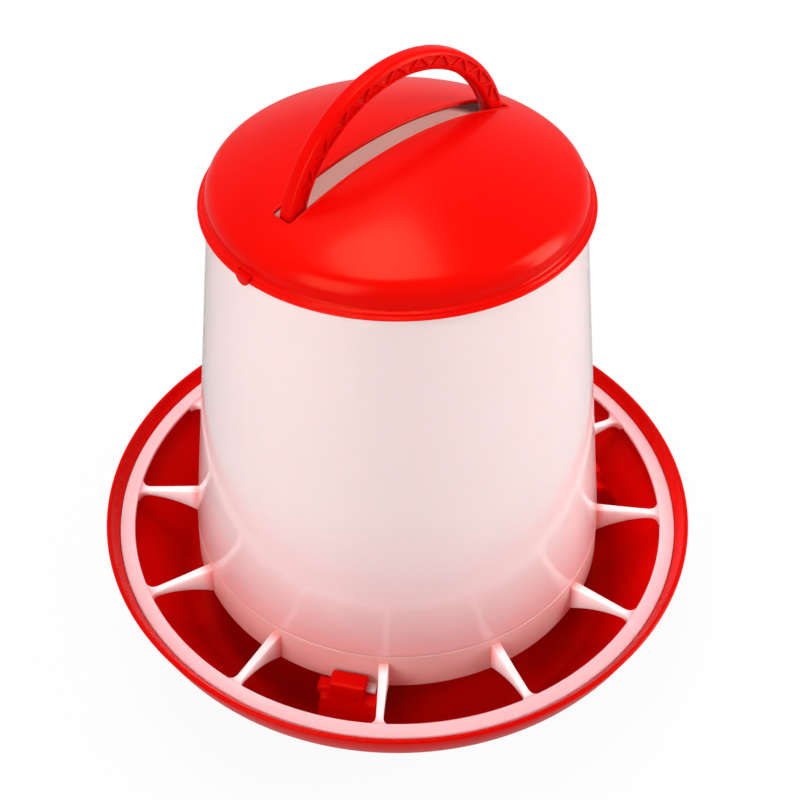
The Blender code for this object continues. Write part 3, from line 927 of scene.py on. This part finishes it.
def clouds(tree, place, scale, detail=2.0, distortion=0.0):
    """A cloudy pattern."""
    values = {"Vector": place, "Scale": scale, "Detail": detail, "Distortion": distortion}
    return add_node(tree, "ShaderNodeTexNoise", values).outputs["Fac"]


def moulded_skin_group():
    """Fine grain from the mould and the slow unevenness of plastic that flowed into it."""
    group, given, out = new_group(
        "moulded_skin",
        {"Vector": None, "Grain Scale": GRAIN_SCALE, "Flow Scale": FLOW_SCALE},
        ["Grain", "Flow"],
    )
    grain = clouds(group, given["Vector"], given["Grain Scale"])
    flow = clouds(group, given["Vector"], given["Flow Scale"], detail=3.0, distortion=FLOW_DISTORTION)
    group.links.new(grain, out["Grain"])
    group.links.new(flow, out["Flow"])
    return group


def handling_marks_group():
    """Hairline scratches in two directions, broken up so that they come in patches."""
    group, given, out = new_group(
        "handling_marks",
        {"Vector": None, "Scratch Scale": SCRATCH_SCALE, "Patch Scale": PATCH_SCALE},
        ["Scratches", "Patches"],
    )
    patches = span(group, clouds(group, given["Vector"], given["Patch Scale"], detail=3.0), *PATCH_SPAN)
    lines = []
    for turn in SCRATCH_TURNS:
        values = {"Vector": given["Vector"], "Rotation": turn, "Scale": SCRATCH_STRETCH}
        place = add_node(group, "ShaderNodeMapping", values).outputs["Vector"]
        lines.append(span(group, clouds(group, place, given["Scratch Scale"]), *SCRATCH_SPAN))
    both = combine(group, "MAXIMUM", *lines)
    group.links.new(combine(group, "MULTIPLY", both, patches), out["Scratches"])
    group.links.new(patches, out["Patches"])
    return group


def new_plastic(name):
    """A material with its shader, the piece's own coordinates and the two shared groups in place."""
    material = bpy.data.materials.new(name)
    material.use_nodes = True
    tree = material.node_tree
    shader = tree.nodes["Principled BSDF"]
    place = tree.nodes.new("ShaderNodeTexCoord").outputs["Object"]
    skin = add_node(tree, "ShaderNodeGroup", node_tree=moulded_skin)
    marks = add_node(tree, "ShaderNodeGroup", node_tree=handling_marks)
    for group in (skin, marks):
        tree.links.new(place, group.inputs["Vector"])
    return material, tree, shader, place, skin, marks


def blend_colours(tree, share, first, second):
    """A mix of two colours, either of them fixed or from another node."""
    mix = tree.nodes.new("ShaderNodeMix")
    mix.data_type = "RGBA"
    sockets = {socket.identifier: socket for socket in mix.inputs}
    tree.links.new(share, sockets["Factor_Float"])
    for name, colour in (("A_Color", first), ("B_Color", second)):
        if isinstance(colour, bpy.types.NodeSocket):
            tree.links.new(colour, sockets[name])
        else:
            sockets[name].default_value = (*colour, 1.0)
    return next(socket for socket in mix.outputs if socket.identifier == "Result_Color")


def axis_distance(tree, place):
    """How far a point lies from the feeder's axis."""
    level = add_node(tree, "ShaderNodeVectorMath", {0: place, 1: (1, 1, 0)}, operation="MULTIPLY")
    values = {0: level.outputs["Vector"]}
    return add_node(tree, "ShaderNodeVectorMath", values, operation="LENGTH").outputs["Value"]


def set_body(shader, body):
    """The values that are the same all over a plastic."""
    for socket, value in body.items():
        shader.inputs[socket].default_value = value


def set_gloss(tree, shader, skin, marks, roughness, rub):
    """Roughness that follows the flow of the plastic, duller where hands have rubbed it."""
    smoothest = roughness * (1 - GLOSS_SPREAD)
    dullest = roughness * (1 + GLOSS_SPREAD)
    even = span(tree, skin.outputs["Flow"], *FLOW_SPAN, smoothest, dullest)
    rubbed = span(tree, marks.outputs["Patches"], 0.0, 1.0, 0.0, rub)
    tree.links.new(combine(tree, "ADD", even, rubbed), shader.inputs["Roughness"])


def set_surface(tree, shader, skin, grain_depth):
    """The grain of the mould as a fine relief."""
    values = {
        "Height": span(tree, skin.outputs["Grain"], *GRAIN_SPAN),
        "Strength": GRAIN_STRENGTH,
        "Distance": grain_depth,
    }
    relief = add_node(tree, "ShaderNodeBump", values)
    tree.links.new(relief.outputs["Normal"], shader.inputs["Normal"])


def set_colour(tree, shader, marks, shade, scuff, share):
    """Puts a colour on a piece, with faint hairlines where it was handled."""
    faint = span(tree, marks.outputs["Scratches"], 0.0, 1.0, 0.0, share)
    tree.links.new(blend_colours(tree, faint, shade, scuff), shader.inputs["Base Color"])


def red_plastic(name, roughness, gloss, grain_scale, painted_shade_rim=False):
    """Glossy red plastic: deeper where it flowed thick, with a fine grain, a few hairline scratches and, when
    asked, a rim darkened with painted shade.
    """
    material, tree, shader, place, skin, marks = new_plastic(name)
    skin.inputs["Grain Scale"].default_value = grain_scale
    flowed = span(tree, skin.outputs["Flow"], *RED_FLOW)
    shade = blend_colours(tree, flowed, RED_DEEP, RED_BRIGHT)
    # Painted shade: outside the guard's ring the pan's red turns darker
    if painted_shade_rim:
        outside = span(tree, axis_distance(tree, place), RING_RADIUS, RING_RADIUS + RIM_SHADE_FADE)
        shade = blend_colours(tree, outside, shade, RED_RIM_PAINTED_SHADE)
    set_colour(tree, shader, marks, shade, RED_SCUFF, RED_SCRATCHES)
    set_gloss(tree, shader, skin, marks, roughness, RED_RUB)
    set_surface(tree, shader, skin, RED_GRAIN_DEPTH)
    set_body(shader, RED_BODY)
    shader.inputs["Specular IOR Level"].default_value = gloss
    return material


def milky_plastic(name, roughness, grain_scale):
    """Milky see-through plastic, still without its colour: it glows with the light that comes through it."""
    material, tree, shader, place, skin, marks = new_plastic(name)
    skin.inputs["Grain Scale"].default_value = grain_scale
    set_gloss(tree, shader, skin, marks, roughness, MILKY_RUB)
    set_surface(tree, shader, skin, MILKY_GRAIN_DEPTH)
    set_body(shader, MILKY_BODY)
    return material, tree, shader, place, skin, marks


def hopper_plastic():
    """The hopper's plastic, coloured with painted red light from the pan: a faint pink at the top, pinker and
    darker with painted shade towards the foot.
    """
    plastic = milky_plastic("hopper_milky", roughness=0.11, grain_scale=800)
    material, tree, shader, place, skin, marks = plastic
    height = add_node(tree, "ShaderNodeSeparateXYZ", {"Vector": place}).outputs["Z"]
    cloud = span(tree, skin.outputs["Flow"], *FLOW_SPAN, -HOPPER_CLOUD, HOPPER_CLOUD)
    cloudy_height = combine(tree, "ADD", height, cloud)
    # Painted red light and shade, strongest at the foot and fading upwards
    low = span(tree, cloudy_height, SEAM, SEAM + PAINTED_RED_LIGHT_MIDDLE_RISE)
    high = span(tree, cloudy_height, SEAM + PAINTED_RED_LIGHT_MIDDLE_RISE, SEAM + PAINTED_RED_LIGHT_TOP_RISE)
    pink = blend_colours(tree, low, HOPPER_FOOT_PAINTED_RED_LIGHT_AND_SHADE, HOPPER_MIDDLE_PAINTED_RED_LIGHT)
    shade = blend_colours(tree, high, pink, HOPPER_TOP_PAINTED_RED_LIGHT)
    set_colour(tree, shader, marks, shade, MILKY_SCUFF, MILKY_SCRATCHES)
    return material


def guard_plastic():
    """The guard's plastic, coloured with painted light and shade: painted shade and red light at the collar,
    painted red light in the ring on the red pan, whiter with a faint painted pink in the spokes.
    """
    plastic = milky_plastic("guard_milky", roughness=0.22, grain_scale=1000)
    material, tree, shader, place, skin, marks = plastic
    cloud = span(tree, skin.outputs["Flow"], *FLOW_SPAN, -GUARD_CLOUD, GUARD_CLOUD)
    cloudy_radius = combine(tree, "ADD", axis_distance(tree, place), cloud)
    # Painted shade and red light at the collar, painted red light in the ring
    spoke = span(tree, cloudy_radius, COLLAR_FOOT_RADIUS, COLLAR_FOOT_RADIUS + COLLAR_FADE)
    ring = span(tree, cloudy_radius, RING_INNER - COLLAR_FADE, RING_INNER)
    inner = blend_colours(tree, spoke, COLLAR_PAINTED_SHADE_AND_RED_LIGHT, SPOKE_PAINTED_FAINT_RED_LIGHT)
    shade = blend_colours(tree, ring, inner, RING_PAINTED_RED_LIGHT)
    set_colour(tree, shader, marks, shade, MILKY_SCUFF, MILKY_SCRATCHES)
    return material


def finish(piece, material, node, body):
    """Paints a piece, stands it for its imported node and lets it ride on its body."""
    piece.data.materials.clear()
    piece.data.materials.append(material)
    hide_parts(node)
    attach(piece, body)


def make_floor():
    """A plain pale floor that goes white behind the feeder and keeps its soft shadow."""
    bpy.ops.object.select_all(action="DESELECT")
    bpy.ops.mesh.primitive_plane_add(size=FLOOR_SIZE, location=(0, 0, -FIT))
    floor = bpy.context.active_object
    floor.name = "studio_floor"
    material = bpy.data.materials.new("pale_floor")
    material.use_nodes = True
    tree = material.node_tree
    shader = tree.nodes["Principled BSDF"]
    shader.inputs["Base Color"].default_value = FLOOR_PALENESS
    shader.inputs["Roughness"].default_value = FLOOR_ROUGHNESS
    shader.inputs["Specular IOR Level"].default_value = 0.0
    glow = add_node(tree, "ShaderNodeEmission", {"Color": WHITE, "Strength": 1.0})
    seen = white_rays(tree, FLOOR_WHITENESS)
    mix = add_node(tree, "ShaderNodeMixShader", {0: seen, 1: shader.outputs[0], 2: glow.outputs[0]})
    tree.links.new(mix.outputs[0], tree.nodes["Material Output"].inputs["Surface"])
    floor.data.materials.append(material)
    floor.visible_glossy = False


def white_rays(tree, share):
    """This share for rays from the camera, and nothing for light."""
    rays = tree.nodes.new("ShaderNodeLightPath")
    return combine(tree, "MULTIPLY", rays.outputs["Is Camera Ray"], share)


def make_world():
    """Even light from all round, seen as plain white by the camera."""
    world = bpy.data.worlds.new("white_studio")
    world.use_nodes = True
    bpy.context.scene.world = world
    tree = world.node_tree
    light = tree.nodes["Background"]
    light.inputs["Color"].default_value = WHITE
    light.inputs["Strength"].default_value = WORLD_LIGHT
    white = add_node(tree, "ShaderNodeBackground", {"Color": WHITE, "Strength": 1.0})
    seen = white_rays(tree, 1.0)
    mix = add_node(tree, "ShaderNodeMixShader", {0: seen, 1: light.outputs[0], 2: white.outputs[0]})
    tree.links.new(mix.outputs[0], tree.nodes["World Output"].inputs["Surface"])


def softbox(name, place, aim, face, power, mirrored=True):
    """A lamp with an even face, aimed at a height on the axis, which glossy plastic may mirror."""
    lamp = bpy.data.lights.new(name, "AREA")
    lamp.shape = "RECTANGLE"
    lamp.size, lamp.size_y = face
    lamp.energy = power
    box = bpy.data.objects.new(name, lamp)
    box.location = place
    box.rotation_euler = (Vector((0, 0, aim)) - Vector(place)).to_track_quat("-Z", "Y").to_euler()
    box.visible_glossy = mirrored
    bpy.context.scene.collection.objects.link(box)


def make_camera():
    """The photograph's view: from above on the left, with the arch's near leg on the left."""
    camera = bpy.data.cameras.new("photo_view")
    camera.sensor_width = CAMERA_SENSOR
    camera.lens = CAMERA_LENS
    camera.shift_x = CAMERA_SHIFT
    camera.clip_start = CAMERA_NEAREST
    eye = bpy.data.objects.new("photo_view", camera)
    eye.location = CAMERA_PLACE
    eye.rotation_euler = (CAMERA_TILT, 0, CAMERA_TURN)
    bpy.context.scene.collection.objects.link(eye)
    bpy.context.scene.camera = eye


moulded_skin = moulded_skin_group()
handling_marks = handling_marks_group()

pan_red = red_plastic("pan_red", roughness=0.24, gloss=0.06, grain_scale=1100, painted_shade_rim=True)
lid_red = red_plastic("lid_red", roughness=0.20, gloss=0.10, grain_scale=1100)
handle_red = red_plastic("handle_red", roughness=0.24, gloss=0.06, grain_scale=1300)

finish(make_pan(), pan_red, "pan", "pan")
finish(make_guard(), guard_plastic(), "feed_guard", "hopper")
finish(make_hopper(), hopper_plastic(), "hopper", "hopper")
finish(make_lid(), lid_red, "lid", "lid")
finish(make_handle(), handle_red, "handle", "handle")

make_floor()
make_world()
softbox("overhead", place=(0.05, 0.15, 1.40), aim=0.15, face=(0.5, 0.5), power=7.5)
softbox("high_behind", place=(0.30, 0.62, 1.25), aim=0.2, face=(0.7, 0.4), power=4.0, mirrored=False)
softbox("left_side", place=(-1.05, -0.16, 0.70), aim=0.14, face=(0.6, 0.9), power=11.0)
softbox("right_side", place=(0.70, -0.75, 0.46), aim=0.14, face=(0.4, 0.9), power=11.0)
softbox("low_behind", place=(0.62, 0.90, 0.15), aim=0.15, face=(0.7, 0.2), power=10.0, mirrored=False)
make_camera()
bpy.context.scene.view_settings.view_transform = "Standard"
